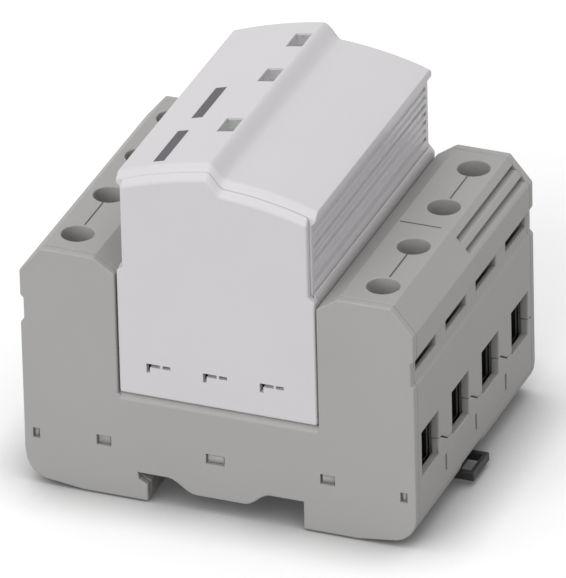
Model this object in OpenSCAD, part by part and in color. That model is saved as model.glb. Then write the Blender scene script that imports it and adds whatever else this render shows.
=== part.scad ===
// Surge arrester for a 35 mm top-hat rail: a U-shaped base with four screw terminals on each side
// and a plug with four spark gaps that pulls straight up out of the recess between them.
// X runs across the rail, Y along it, and Z up from the face of the rail that the base sits on.

/* [Base] */
// Width of one module along the rail
pitch = 17.8; // [17.6:0.1:18.4]
// Length of the base across the rail
base_length = 88; // [86:1:94]
// Height of the terminal shoulders above the rail seat
shoulder_z = 50; // [49:0.5:53]
// Reach of the feet below the rail seat
foot_drop = 6.5; // [6.3:0.1:7]
// Height of the joint line between tray and terminal blocks
parting_z = 8.9; // [8.7:0.1:9.3]
// Thickness of the two end plates of the base
end_plate_t = 2; // [1.6:0.1:2.2]
// Wall of the terminal blocks
block_wall = 1.8; // [1.5:0.1:2.2]
// Width of the slope along the outer edge of a shoulder
shoulder_slope_x = 4.9; // [4.5:0.1:6]
// Drop of the slope along the outer edge of a shoulder
shoulder_slope_z = 5.9; // [5:0.1:6.5]

/* [Recess] */
// Width of the recess that takes the plug
recess_w = 45; // [44.4:0.1:45.6]
// Height of the recess floor above the rail seat
recess_floor_z = 18.4; // [18.2:0.1:19.4]
// Thickness of the recess floor
recess_floor_t = 2.4; // [2:0.1:2.6]

/* [Terminals] */
// Distance from the screw axis to the outer face of the base
screw_inset = 9.9; // [9.6:0.1:10.4]
// Diameter of the access hole over each screw
access_d = 7; // [6.8:0.1:7.6]
// Diameter of the screw thread
thread_d = 5; // [4.6:0.1:5.2]
// Width of a cable entry
entry_w = 9.8; // [9:0.1:10.4]
// Height of a cable entry
entry_h = 10.4; // [10:0.1:11]
// Width of a comb slot
comb_w = 11.9; // [10:0.1:12]
// Height of a comb slot
comb_h = 2.5; // [2:0.1:3]
// Travel of a clamp cage between open and closed
cage_travel = 8.5; // [7.5:0.1:8.5]

/* [Plug] */
// Clearance between the plug and the recess
plug_gap = 0.35; // [0.3:0.05:0.5]
// Height of the roof's ridge above the rail seat
ridge_z = 75.5; // [75:0.5:79]
// Thickness of the two end plates of the plug
plug_plate_t = 1.6; // [1.4:0.1:2]
// Wall of the plug's cover and base
plug_wall = 1.8; // [1.5:0.1:2]
// Number of grip ribs on each side of the plug
rib_count = 7; // [4:1:9]
// Length of a status window across the rail
window_l = 3.8; // [3:0.1:5]
// Width of a status window along the rail
window_w = 6.2; // [5:0.1:7]

/* [Rail foot] */
// Travel of the rail latch
latch_travel = 3.5; // [3:0.1:4]
// Width of the rail latch
latch_w = 9.6; // [9:0.2:12]
// Reach of the rail latch past the outer face of the base
latch_reach = 1.9; // [1:0.1:4]

/* [Hidden] */
$fn = 48;

// Clearances
run_gap = 0.35;       // between pieces that move past each other
thread_gap = 0.05;    // round a screw in its thread
seam = 0.2;           // open joint line between two mouldings
over = 1;             // reach of a cut past the face that it opens

// Main planes
way_count = 4;
half_w = way_count * pitch / 2;
half_l = base_length / 2;
core_y = half_w - end_plate_t;
foot_z = -foot_drop;
recess_x = recess_w / 2;
screw_x = half_l - screw_inset;
way_y = [for (i = [0:way_count - 1]) (i - (way_count - 1) / 2) * pitch];

// 35 mm rail: half width, flange thickness and the channel that hangs between the feet
rail_half = 17.5;
rail_t = 1;
hook_slot_x = rail_half + 0.9;
hook_lip_x = rail_half - 1.1;
hook_slot_h = rail_t + 0.5;
hook_ramp = 1.1;
rail_right_x = rail_half + 1.2;
belly_drop = 3.1;
belly_left = [-11.9, -5.5];
belly_right = [5.5, 11.2];

// Colours of the mouldings
base_grey = "#a7a7a3";
plug_grey = "#d2d0d3";

// A box between two corners
module box(low, high) {
  translate(low) cube(high - low);
}

// A profile in X and Z, extruded along Y
module slab(y0, y1) {
  translate([0, y1, 0]) rotate([90, 0, 0]) linear_extrude(y1 - y0) children();
}

// Places a right-hand terminal piece at terminal 1 to 4 on the right, or 5 to 8 on the left
module at_terminal(k) {
  if (k <= way_count)
    translate([0, way_y[k - 1], 0]) children();
  else
    translate([0, way_y[k - way_count - 1], 0]) mirror([1, 0, 0]) children();
}

// Soft S from point a to point b, level at both ends
function s_curve(a, b, n = 6) =
  [for (i = [0:n]) [a.x + (b.x - a.x) * i / n, a.y + (b.y - a.y) * (1 - cos(180 * i / n)) / 2]];

function mirrored(points) = [for (i = [len(points) - 1:-1:0]) [-points[i].x, points[i].y]];

// Outline of the base

band_z = [31.8, 38.2];
band_d = 0.7;
lead_x = 4.7;
lead_z = 3.2;
foot_r = 6;
foot_lift = 0.9;
foot_flat_x = half_l - 13;

// Right foot, from the outer wall round the corner and down to the flat that it stands on
foot_side = concat(
  [
    for (a = [0:15:90])
      [half_l - foot_r * (1 - cos(a)), foot_z + foot_lift + foot_r * (1 - sin(a))]
  ],
  [[foot_flat_x, foot_z]]
);

// Rail cut-out, from the latch side to the fixed hook
rail_cut = concat(
  [[rail_right_x, foot_z], [rail_right_x, 0]],
  s_curve([belly_right[1], 0], [belly_right[0], -belly_drop]),
  s_curve([belly_left[1], -belly_drop], [belly_left[0], 0]),
  [
    [-hook_slot_x, 0],
    [-hook_slot_x, -hook_slot_h],
    [-hook_lip_x, -hook_slot_h - hook_ramp],
    [-hook_lip_x, foot_z]
  ]
);

// Right shoulder, from the recess wall over the top and down the outer wall
shoulder = [
  [recess_x, shoulder_z - lead_z],
  [recess_x + lead_x, shoulder_z],
  [half_l - shoulder_slope_x, shoulder_z],
  [half_l, shoulder_z - shoulder_slope_z],
  [half_l, band_z[1]],
  [half_l - band_d, band_z[1] - band_d],
  [half_l - band_d, band_z[0] + band_d],
  [half_l, band_z[0]]
];

foot_line = concat(foot_side, rail_cut, mirrored(foot_side));
tray_outline = concat(
  [[recess_x, recess_floor_z], [recess_x, parting_z], [half_l, parting_z]],
  foot_line,
  [[-half_l, parting_z], [-recess_x, parting_z], [-recess_x, recess_floor_z]]
);
block_outline = concat([[recess_x, parting_z]], shoulder, [[half_l, parting_z]]);
base_outline = concat(
  [[recess_x, recess_floor_z]],
  shoulder,
  foot_line,
  mirrored(shoulder),
  [[-recess_x, recess_floor_z]]
);

// Terminals

block_in_x = recess_x + block_wall;
block_out_x = half_l - block_wall;
bar_t = 2;
bar_w = 7.4;
bar_back = 0.4;                       // how far the contact bar stays behind the mouth of the cage
bar_z = parting_z + entry_h - 0.8;    // underside of the contact bar over the cable

cage_room = 0.6;
cage_x = [screw_x - 5, block_out_x - cage_room];
cage_wall = 1.3;
cage_in_y = 4.3;
cage_out_y = cage_in_y + cage_wall;
cage_floor_t = 2;
cage_floor_z = parting_z - 0.4;       // where the cable lies when the cage is open
cage_top_t = 3;
cage_top_z = bar_z + bar_t + cage_top_t + 0.5;
cage_pocket_z = cage_floor_z - cage_floor_t - 0.9;

// Bay round a cage, with room for a comb rail over the raised cage
comb_room = 6.5;
bay_y = cage_out_y + 0.5;
bay_top_z = cage_top_z + cage_travel + comb_room;
comb_z = bay_top_z - 3.4;

screw_head_d = access_d - 2 * run_gap;
screw_head_z = [bay_top_z + 1.5, bay_top_z + 5.5];
screw_tip_z = bar_z + bar_t + 0.5;
screw_slot_w = 1.1;
screw_slot_d = 1.6;

marker_z = [shoulder_z - 2.7, shoulder_z - 5.1];
marker_h = 1.1;
marker_x = [half_l - 5.4, half_l - 3];

// Tongue of the tray that stands in the outer wall beside a cable entry
tongue_h = 3.5;
tongue_low = 0.9;
tongue_top = 1.2;
tongue_ramp = 4;
tongue_y = [
  entry_w / 2,
  entry_w / 2 + tongue_top,
  entry_w / 2 + tongue_top + tongue_ramp,
  pitch - entry_w / 2
];

module wall_tongue(gap) {
  translate([block_out_x - gap, 0, parting_z])
    rotate([90, 0, 90])
      linear_extrude(block_wall + gap)
        polygon([
          [tongue_y[0] - gap, -gap],
          [tongue_y[0] - gap, tongue_h + gap],
          [tongue_y[1] + gap, tongue_h + gap],
          [tongue_y[2] + gap, tongue_low + gap],
          [tongue_y[3] + gap, tongue_low + gap],
          [tongue_y[3] + gap, -gap]
        ]);
}

// The row of tongues, ended flush with the core of the base
module wall_tongues(gap) {
  intersection() {
    for (y = way_y)
      translate([0, y, 0]) wall_tongue(gap);
    box([0, -core_y, parting_z - over], [half_l + over, core_y, shoulder_z]);
  }
}

module terminal_bay() {
  box([block_in_x, -bay_y, parting_z - over], [block_out_x, bay_y, bay_top_z]);
  box([block_out_x - over, -entry_w / 2, parting_z - over], [half_l + over, entry_w / 2, parting_z + entry_h]);
  box([block_out_x - over, -comb_w / 2, comb_z - comb_h / 2], [half_l + over, comb_w / 2, comb_z + comb_h / 2]);
  translate([screw_x, 0, bay_top_z - over]) cylinder(d = access_d, h = shoulder_z - bay_top_z + 2 * over);
  box(
    [recess_x - over, -bar_w / 2 - seam, parting_z - over],
    [block_in_x + over, bar_w / 2 + seam, parting_z + bar_t + seam]
  );
}

module terminal_block() {
  difference() {
    slab(-core_y, core_y) polygon(block_outline);
    for (y = way_y)
      translate([0, y, 0]) terminal_bay();
    for (i = [0, 1])
      box([marker_x[i], 0, marker_z[i]], [half_l + over, core_y + over, marker_z[i] + marker_h]);
    wall_tongues(seam);
    box([half_l - 2 * seam, -core_y - over, parting_z - over], [half_l + over, core_y + over, parting_z + seam]);
  }
}

module terminal_block_right() {
  color(base_grey) terminal_block();
}

module terminal_block_left() {
  color(base_grey) rotate([0, 0, 180]) terminal_block();
}

// Contacts under the recess floor

contact_x = recess_x - 6.5;
contact_top_z = recess_floor_z - recess_floor_t;
blade_t = 2;
blade_w = 8;
fork_t = 1.2;
fork_gap = blade_t / 2 + run_gap;
fork_top_z = contact_top_z - 0.3;
contact_bay_y = 4.6;
contact_bay_x = contact_x - fork_gap - fork_t - 1;

// Bent bar: over the cable, down the inner wall, in under the recess floor, and up into the fork
module contact_bar(k) {
  color("#b8763f") at_terminal(k) {
    box([block_in_x, -bar_w / 2, bar_z], [cage_x[1] - bar_back, bar_w / 2, bar_z + bar_t]);
    box([block_in_x, -bar_w / 2, parting_z], [block_in_x + bar_t, bar_w / 2, bar_z + bar_t]);
    box(
      [contact_x - fork_gap - fork_t, -bar_w / 2, parting_z],
      [block_in_x + bar_t, bar_w / 2, parting_z + bar_t]
    );
    for (x = [contact_x - fork_gap - fork_t, contact_x + fork_gap])
      box([x, -bar_w / 2, parting_z], [x + fork_t, bar_w / 2, fork_top_z]);
  }
}

module clamp_cage(k) {
  color("#c9c9c4") at_terminal(k)
    difference() {
      box([cage_x[0], -cage_out_y, cage_floor_z - cage_floor_t], [cage_x[1], cage_out_y, cage_top_z]);
      box(
        [cage_x[0] - over, -cage_in_y, cage_floor_z],
        [cage_x[1] + over, cage_in_y, cage_top_z - cage_top_t]
      );
      translate([screw_x, 0, cage_top_z - cage_top_t - over])
        cylinder(d = thread_d + 2 * thread_gap, h = cage_top_t + 2 * over);
    }
}

module terminal_screw(k) {
  color("#9a9a98") at_terminal(k)
    translate([screw_x, 0, 0])
      difference() {
        union() {
          translate([0, 0, screw_tip_z]) cylinder(d = thread_d, h = screw_head_z[0] - screw_tip_z + seam);
          translate([0, 0, screw_head_z[0]]) cylinder(d = screw_head_d, h = screw_head_z[1] - screw_head_z[0]);
        }
        for (a = [0, 90])
          rotate(a)
            box(
              [-screw_head_d * 0.36, -screw_slot_w / 2, screw_head_z[1] - screw_slot_d],
              [screw_head_d * 0.36, screw_slot_w / 2, screw_head_z[1] + over]
            );
      }
}

// Rail latch and its slot

latch_y = -2.2;
latch_bar_z = [foot_z + 0.9, foot_z + 2.9];
latch_nose_z = -rail_t - 0.15;
latch_tip_x = rail_half - 1.3;
latch_nose_x = latch_tip_x + 3.8;
latch_ramp = 2;
latch_end_x = half_l + latch_reach;
guide_w = 1;
guide_h = 0.9;
guide_x = [latch_nose_x, half_l - 8];
spring_in_x = half_l - 19;
spring_l = 8;
spring_w = 6;
spring_t = 0.6;
spring_bends = 3;
post_l = 2;
eye_w = 6.9;
eye_rim = 1.1;
eye_l = 3.1;
mouth_x = latch_end_x - eye_rim - eye_l - 1.5;
mouth_side = 0.9;
mouth_h = 2.2;

// Foot with a nose for the rail, guides along both edges, a window for the spring and an eye to pull
module rail_latch() {
  color("#3c3c3e")
    translate([0, latch_y, 0])
      difference() {
        union() {
          slab(-latch_w / 2, latch_w / 2)
            polygon([
              [latch_tip_x, latch_nose_z],
              [latch_nose_x, latch_nose_z],
              [latch_nose_x, latch_bar_z[1]],
              [latch_end_x, latch_bar_z[1]],
              [latch_end_x, latch_bar_z[0]],
              [latch_tip_x + latch_ramp, latch_bar_z[0]],
              [latch_tip_x, latch_bar_z[0] + latch_ramp]
            ]);
          box(
            [guide_x[0], -latch_w / 2 - guide_w, latch_bar_z[1] - guide_h],
            [guide_x[1], latch_w / 2 + guide_w, latch_bar_z[1]]
          );
        }
        box(
          [spring_in_x, -spring_w / 2, latch_bar_z[0] - over],
          [spring_in_x + spring_l + post_l + run_gap, spring_w / 2, latch_bar_z[1] + over]
        );
        box(
          [latch_end_x - eye_rim - eye_l, -eye_w / 2, latch_bar_z[0] - over],
          [latch_end_x - eye_rim, eye_w / 2, latch_bar_z[1] + over]
        );
      }
}

// Serpentine leaf between the latch's window and the fixed post
module latch_spring() {
  step = (spring_l - 2 * seam - spring_t) / spring_bends;
  bend_r = (step + spring_t) / 2;
  leaf_y = spring_w / 2 - run_gap - bend_r;
  z0 = latch_bar_z[0] + run_gap;
  leaf_h = latch_bar_z[1] - latch_bar_z[0] - 2 * run_gap;
  color("#8c8f93") translate([spring_in_x + seam, latch_y, z0]) {
    for (i = [0:spring_bends])
      box([i * step, -leaf_y, 0], [i * step + spring_t, leaf_y, leaf_h]);
    for (i = [0:spring_bends - 1])
      translate([i * step + bend_r, (i % 2 == 0 ? 1 : -1) * leaf_y, 0])
        rotate(i % 2 == 0 ? 0 : 180)
          difference() {
            cylinder(r = bend_r, h = leaf_h);
            translate([0, 0, -over]) cylinder(r = bend_r - spring_t, h = leaf_h + 2 * over);
            box([-bend_r - over, -bend_r - over, -over], [bend_r + over, 0, leaf_h + over]);
          }
  }
}

// Channel of the latch, open below, with a groove along each edge, a wider mouth round the eye,
// and the post that the spring leans on
module latch_slot() {
  nose_clear = latch_nose_x + latch_travel + run_gap;
  guide_clear = guide_x[1] + latch_travel + run_gap;
  side = latch_w / 2 + run_gap;
  channel_z = latch_bar_z[1] + run_gap;
  translate([0, latch_y, 0])
    difference() {
      union() {
        box([rail_right_x - over, -side, foot_z - over], [half_l + over, side, channel_z]);
        box([rail_right_x - over, -side, foot_z - over], [nose_clear, side, latch_nose_z + run_gap]);
        box(
          [rail_right_x - over, -side - guide_w, latch_bar_z[1] - guide_h - run_gap],
          [guide_clear, side + guide_w, channel_z]
        );
        box(
          [mouth_x, -side - mouth_side, foot_z - over],
          [half_l + over, side + mouth_side, channel_z + mouth_h]
        );
      }
      box(
        [spring_in_x + spring_l, run_gap - spring_w / 2, latch_bar_z[0]],
        [spring_in_x + spring_l + post_l, spring_w / 2 - run_gap, 0]
      );
    }
}

// Tray

slit_w = 1;
slit_h = 4;
slit_z = 4.8;
slit_d = 1.2;
snap_z = 6.4;
snap_drop = 1;
snap_h = 2.4;
snap_w = 3.3;
snap_mid_w = 4.2;
snap_end_w = 1.6;
snap_rim = 0.35;
snap_step = 0.5;

// Snaps along the foot of an end plate: across position, width and drop below the others
snaps = [
  [-half_l + 2.7, snap_end_w, snap_drop],
  [-recess_x - 3.5, snap_w, 0],
  [-0.9, snap_mid_w, 0],
  [recess_x + 1.8, snap_w, 0],
  [half_l - 2.7, snap_end_w, snap_drop]
];

// Window for a snap in the front end plate
module snap_window(snap) {
  translate([snap[0], 0, snap_z - snap[2]])
    box([-snap[1] / 2, -half_w - over, -snap_h / 2], [snap[1] / 2, -core_y + over, snap_h / 2]);
}

// Tongue of the tray that stands in that window
module snap_tongue(snap) {
  half = snap[1] / 2 - snap_rim;
  high = snap_h / 2 - snap_rim;
  translate([snap[0], 0, snap_z - snap[2]])
    box([-half, -half_w + snap_step, -high], [half, -core_y + over, high]);
}

module contact_bay() {
  box([cage_x[0] - cage_room, -bay_y, cage_pocket_z], [cage_x[1] + cage_room, bay_y, parting_z + over]);
  box([contact_bay_x, -contact_bay_y, parting_z], [recess_x + over, contact_bay_y, contact_top_z]);
  box(
    [contact_x - blade_t / 2 - run_gap, -blade_w / 2 - run_gap, contact_top_z - over],
    [contact_x + blade_t / 2 + run_gap, blade_w / 2 + run_gap, recess_floor_z + over]
  );
}

module base_tray() {
  color(base_grey) {
    difference() {
      slab(-core_y, core_y) polygon(tray_outline);
      for (k = [1:2 * way_count])
        at_terminal(k) contact_bay();
      latch_slot();
      for (side = [0, 180], i = [1:way_count - 1])
        rotate(side)
          translate([0, (way_y[i - 1] + way_y[i]) / 2, slit_z])
            box([half_l - slit_d, -slit_w / 2, -slit_h / 2], [half_l + over, slit_w / 2, slit_h / 2]);
    }
    for (side = [0, 180])
      rotate(side) wall_tongues(0);
    for (side = [0, 1], s = snaps)
      mirror([0, side, 0]) snap_tongue(s);
  }
}

// End plates of the base

recess_bevel = 1;
bevel_end = 0.4;

module end_plate() {
  bevel_x = recess_x - bevel_end;
  difference() {
    slab(-half_w, -core_y) polygon(base_outline);
    for (s = snaps)
      snap_window(s);
    translate([-bevel_x, -half_w, recess_floor_z - recess_bevel])
      rotate([90, 0, 90])
        linear_extrude(2 * bevel_x)
          polygon([
            [-over, -over],
            [recess_bevel + over, recess_bevel + over],
            [-over, recess_bevel + over]
          ]);
  }
}

module front_end_plate() {
  color(base_grey) end_plate();
}

module rear_end_plate() {
  color(base_grey) mirror([0, 1, 0]) end_plate();
}

// Plug

plug_x = recess_x - plug_gap;
plug_y = half_w - 0.2;
plug_core_y = plug_y - plug_plate_t;
plug_z = recess_floor_z + plug_gap;
plug_floor_t = 2;
plug_floor_z = plug_z + plug_floor_t;
flange_z = shoulder_z - 2.2;
flange_rise = 1.6;
cover_x = recess_x - 1.3;
lip_x = cover_x - 0.4;
ledge_t = 2;
ledge_x = cover_x - plug_wall - 0.9;

// Roof: an arch on the left up to the ridge, a soft step, and a lower arch on the right
eave_x = recess_x - 0.3;
eave_t = 2;
ridge_x = -1.8;
step_x = 2.1;
roof_left_z = ridge_z - 5.5;
roof_step_z = ridge_z - 3.4;
roof_right_z = ridge_z - 7.2;
roof_left_sag = 0.6;
roof_right_sag = 0.7;
roof_t = 2.4;
front_rim = 1.4;
rear_rim = 0.8;
rim_groove = 0.3;
arch_n = 6;
step_n = 12;

function arch_z(t, a, b, sag) = a + (b - a) * t + 4 * sag * t * (1 - t);
function roof_z(x) =
  x < ridge_x ? arch_z((x + eave_x) / (ridge_x + eave_x), roof_left_z, ridge_z, roof_left_sag)
  : x < step_x ? ridge_z - (ridge_z - roof_step_z) * (1 - cos(180 * (x - ridge_x) / (step_x - ridge_x))) / 2
  : arch_z((x - step_x) / (eave_x - step_x), roof_step_z, roof_right_z, roof_right_sag);

// Places across the roof from -x to x, closer together on the step, and the roof line over them
function spread(a, b, n) = [for (i = [0:n - 1]) a + (b - a) * i / n];
function stations(x) =
  concat(spread(-x, ridge_x, arch_n), spread(ridge_x, step_x, step_n), spread(step_x, x, arch_n), [x]);
function lowered(xs, drop) = [for (x = xs) [x, roof_z(x) - drop]];
function roof(x, drop) = lowered(stations(x), drop);

// A body between roof lines at places along Y and one foot line below them
module loft(places, tops, foot) {
  n = len(foot);
  row = 2 * n;
  last = len(places) - 1;
  rows = [0:last - 1];
  strips = [0:n - 2];
  polyhedron(
    [for (k = [0:last], p = concat(tops[k], foot)) [p.x, places[k], p.y]],
    concat(
      [for (i = strips) [i, i + 1, n + i + 1, n + i]],
      [for (i = strips) [for (p = [i + 1, i, n + i, n + i + 1]) last * row + p]],
      [for (k = rows, i = strips) [for (p = [i, row + i, row + i + 1, i + 1]) k * row + p]],
      [for (k = rows, i = strips) [for (p = [i + 1, row + i + 1, row + i, i]) k * row + n + p]],
      [for (k = rows) [for (p = [row, 0, n, row + n]) k * row + p]],
      [for (k = rows) [for (p = [0, row, row + n, n]) k * row + n - 1 + p]]
    )
  );
}

// Where the underside of an eave meets the wall on that side
function eave_low(x) = roof_z(x < 0 ? -eave_x : eave_x) - eave_t - eave_x + cover_x;

// Grip ribs from the plain band over the flange up to the eaves
rib_z = flange_z + 3.5;
rib_step = (eave_low(cover_x) - rib_z) / rib_count;
rib_h = rib_step / 2;
rib_d = 0.6;
rib_end = 1.2;

// Status windows stand on the left arch, square to its slope
window_x = ridge_x - 2.1;
window_y = [-15, 8.1, 24.5];
window_sink = 0.5;
window_t = 1.2;
window_slope = atan((roof_z(window_x + window_l / 2) - roof_z(window_x - window_l / 2)) / window_l);

module at_window(i) {
  translate([window_x, window_y[i], roof_z(window_x)]) rotate([0, -window_slope, 0]) children();
}

// Roof with its eaves, let down at both ends to a narrow rim
module roof_body() {
  xs = concat([-eave_x], stations(cover_x), [eave_x]);
  roof_foot_z = roof_right_z - 4;
  loft(
    [-plug_core_y, front_rim - plug_core_y, plug_core_y - rear_rim, plug_core_y],
    [for (drop = [front_rim, 0, 0, rear_rim]) lowered(xs, drop)],
    [for (x = xs) [x, abs(x) < cover_x ? roof_foot_z : eave_low(x) + abs(x) - cover_x]]
  );
}

module plug_cover() {
  color(plug_grey)
    difference() {
      union() {
        roof_body();
        slab(-plug_core_y, plug_core_y)
          polygon([
            [-cover_x, flange_z],
            [-cover_x, eave_low(-cover_x) + seam],
            [cover_x, eave_low(cover_x) + seam],
            [cover_x, flange_z]
          ]);
      }
      slab(-plug_core_y - over, plug_core_y + over)
        polygon(concat(
          roof(cover_x - plug_wall, roof_t),
          [[cover_x - plug_wall, flange_z - over], [plug_wall - cover_x, flange_z - over]]
        ));
      for (side = [0, 1], i = [0:rib_count - 1])
        mirror([side, 0, 0])
          box(
            [cover_x - rib_d, rib_end - plug_core_y, rib_z + i * rib_step],
            [cover_x + over, plug_core_y - rib_end, rib_z + i * rib_step + rib_step - rib_h]
          );
      for (i = [0:2])
        at_window(i)
          box([-window_l / 2, -window_w / 2, -4 * roof_t], [window_l / 2, window_w / 2, 2 * roof_t]);
    }
}

module status_window(i) {
  color("#cfd8d2") at_window(i)
    box([-window_l / 2, -window_w / 2, -window_sink - window_t], [window_l / 2, window_w / 2, -window_sink]);
}

// Tray of the plug: floor with blade slots, side walls with a ledge for the board, partitions
partition_t = 1.4;
partition_z = flange_z - 4;

module plug_base() {
  color(plug_grey)
    difference() {
      union() {
        difference() {
          box([-plug_x, -plug_core_y, plug_z], [plug_x, plug_core_y, flange_z]);
          box(
            [plug_wall - plug_x, -plug_core_y - over, plug_floor_z],
            [plug_x - plug_wall, plug_core_y + over, flange_z - ledge_t]
          );
          box([-ledge_x, -plug_core_y - over, plug_floor_z], [ledge_x, plug_core_y + over, flange_z + over]);
        }
        for (side = [0, 1])
          mirror([side, 0, 0])
            slab(-plug_core_y, plug_core_y)
              polygon([
                [cover_x + seam, flange_z - seam],
                [plug_x, flange_z - seam],
                [plug_x, flange_z],
                [cover_x + seam, flange_z + flange_rise]
              ]);
        for (i = [1:way_count - 1])
          translate([0, (way_y[i - 1] + way_y[i]) / 2, 0])
            box([-plug_x + seam, -partition_t / 2, plug_z + seam], [plug_x - seam, partition_t / 2, partition_z]);
      }
      for (k = [1:2 * way_count])
        at_terminal(k)
          box(
            [contact_x - blade_t / 2, -blade_w / 2, plug_z - over],
            [contact_x + blade_t / 2, blade_w / 2, plug_floor_z + over]
          );
    }
}

// Latch slots at the foot of the plug's end plates
foot_slot_x = [-13.2, -0.5, 12.2];
foot_slot_z = 26;
foot_slot_l = 5.4;
foot_slot_h = 2.2;
foot_slot_t = 0.8;
foot_slot_d = plug_plate_t + over;

module foot_slot() {
  box([-foot_slot_l / 2, 0, 0], [0.4, foot_slot_d, foot_slot_t]);
  box([-foot_slot_l / 2, 0, foot_slot_t - foot_slot_h], [foot_slot_t - foot_slot_l / 2, foot_slot_d, 0.1]);
  box([foot_slot_l / 2 - 1.8, 0, 0], [foot_slot_l / 2, foot_slot_d, foot_slot_t]);
}

// End plate that carries on below the rim of the roof: a narrow groove, then a bevel down to its face
module plug_plate(rim) {
  foot = [for (x = stations(lip_x)) [x, roof_right_z - 6]];
  join_z = foot[0].y + seam;
  difference() {
    union() {
      slab(-plug_y, -plug_core_y)
        polygon([
          [-plug_x, plug_z], [plug_x, plug_z], [plug_x, flange_z],
          [lip_x, flange_z + flange_rise], [lip_x, join_z], [-lip_x, join_z],
          [-lip_x, flange_z + flange_rise], [-plug_x, flange_z]
        ]);
      loft(
        [-plug_y, -plug_core_y - rim_groove, -plug_core_y],
        [for (drop = [plug_plate_t - rim_groove, 0, rim_groove]) roof(lip_x, rim + drop)],
        foot
      );
    }
    for (x = foot_slot_x)
      translate([x, -plug_y - seam, foot_slot_z]) foot_slot();
  }
}

module plug_front_plate() {
  color(plug_grey) plug_plate(front_rim);
}

module plug_rear_plate() {
  color(plug_grey) mirror([0, 1, 0]) plug_plate(rear_rim);
}

// Inside the plug

blade_tip_z = parting_z + bar_t + run_gap;
gap_rise = 15;
gap_z = plug_floor_z + gap_rise;
gap_d = 2 * (plug_core_y + way_y[0] - run_gap);
gap_l = 24;
electrode_d = 7;
blade_head = 1.5;
blade_top_z = gap_z + electrode_d / 2 + blade_head;

module plug_blade(k) {
  color("#c79a55") at_terminal(k)
    slab(-blade_w / 2, blade_w / 2)
      polygon([
        [contact_x - blade_t / 2, blade_top_z],
        [contact_x + blade_t / 2, blade_top_z],
        [contact_x + blade_t / 2, blade_tip_z + 1],
        [contact_x + blade_t / 4, blade_tip_z],
        [contact_x - blade_t / 4, blade_tip_z],
        [contact_x - blade_t / 2, blade_tip_z + 1]
      ]);
}

// Sealed gap: a potted body with a stub electrode at each end, held between two blades
module spark_gap(i) {
  color("#7d5a3c") translate([0, way_y[i - 1], gap_z]) rotate([0, 90, 0]) {
    cylinder(d = gap_d, h = gap_l, center = true);
    cylinder(d = electrode_d, h = 2 * contact_x - blade_t, center = true);
  }
}

board_t = 1.6;
board_x = cover_x - plug_wall - 0.2;
board_y = plug_core_y - 0.4;
board_z = flange_z + board_t;
tube_d = 7;
tube_h = 9;
tube_x = 11;
post_d = 4;

module trigger_board() {
  color("#2f6b3f") {
    box([-board_x, -board_y, flange_z], [board_x, board_y, board_z]);
    for (y = way_y)
      translate([tube_x, y, board_z - seam]) cylinder(d = tube_d, h = tube_h + seam);
  }
}

// Status flags on their carrier

flag_edge = 0.4;      // reach of a flag past the window that it fills
flag_travel = window_l + 2 * flag_edge;
flag_w = window_w + 2 * flag_edge;
flag_t = 1.2;
flag_x = [window_x - window_l / 2 - flag_travel - flag_edge, window_x + window_l / 2 + flag_edge];
carrier_t = 1.6;
carrier_x = [flag_x[0], flag_x[1] + flag_travel];
flag_z = min(roof_z(carrier_x[0]), roof_z(carrier_x[1])) - roof_t - run_gap - flag_t;
carrier_z = flag_z - run_gap;
guide_t = 1;
post_x = [carrier_x[0] + post_d / 2, carrier_x[1] - post_d / 2];

module status_flag(i) {
  color("#4f9a5a")
    translate([0, window_y[i], flag_z]) box([flag_x[0], -flag_w / 2, 0], [flag_x[1], flag_w / 2, flag_t]);
}

module flag_carrier() {
  first = window_y[0] - flag_w / 2 - run_gap - guide_t;
  last = window_y[2] + flag_w / 2 + run_gap + guide_t;
  color("#e4e2dc") {
    box([carrier_x[0], first, carrier_z - carrier_t], [carrier_x[1], last, carrier_z]);
    for (y = window_y, side = [-1, 1])
      translate([0, y + side * (flag_w / 2 + run_gap + guide_t / 2), carrier_z - seam])
        box([carrier_x[0], -guide_t / 2, 0], [carrier_x[1], guide_t / 2, flag_t + seam]);
    for (x = post_x, y = [window_y[0], window_y[2]])
      translate([x, y, board_z]) cylinder(d = post_d, h = carrier_z - carrier_t - board_z + seam);
  }
}

base_tray();
terminal_block_right();
terminal_block_left();
front_end_plate();
rear_end_plate();
rail_latch();
latch_spring();
terminal_screw(1);  // terminal_screw_1
terminal_screw(2);  // terminal_screw_2
terminal_screw(3);  // terminal_screw_3
terminal_screw(4);  // terminal_screw_4
terminal_screw(5);  // terminal_screw_5
terminal_screw(6);  // terminal_screw_6
terminal_screw(7);  // terminal_screw_7
terminal_screw(8);  // terminal_screw_8
clamp_cage(1);  // clamp_cage_1
clamp_cage(2);  // clamp_cage_2
clamp_cage(3);  // clamp_cage_3
clamp_cage(4);  // clamp_cage_4
clamp_cage(5);  // clamp_cage_5
clamp_cage(6);  // clamp_cage_6
clamp_cage(7);  // clamp_cage_7
clamp_cage(8);  // clamp_cage_8
contact_bar(1);  // contact_bar_1
contact_bar(2);  // contact_bar_2
contact_bar(3);  // contact_bar_3
contact_bar(4);  // contact_bar_4
contact_bar(5);  // contact_bar_5
contact_bar(6);  // contact_bar_6
contact_bar(7);  // contact_bar_7
contact_bar(8);  // contact_bar_8
plug_cover();
plug_base();
plug_front_plate();
plug_rear_plate();
status_window(0);  // status_window_1
status_window(1);  // status_window_2
status_window(2);  // status_window_3
status_flag(0);  // status_flag_1
status_flag(1);  // status_flag_2
status_flag(2);  // status_flag_3
flag_carrier();
plug_blade(1);  // plug_blade_1
plug_blade(2);  // plug_blade_2
plug_blade(3);  // plug_blade_3
plug_blade(4);  // plug_blade_4
plug_blade(5);  // plug_blade_5
plug_blade(6);  // plug_blade_6
plug_blade(7);  // plug_blade_7
plug_blade(8);  // plug_blade_8
spark_gap(1);  // spark_gap_1
spark_gap(2);  // spark_gap_2
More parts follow.
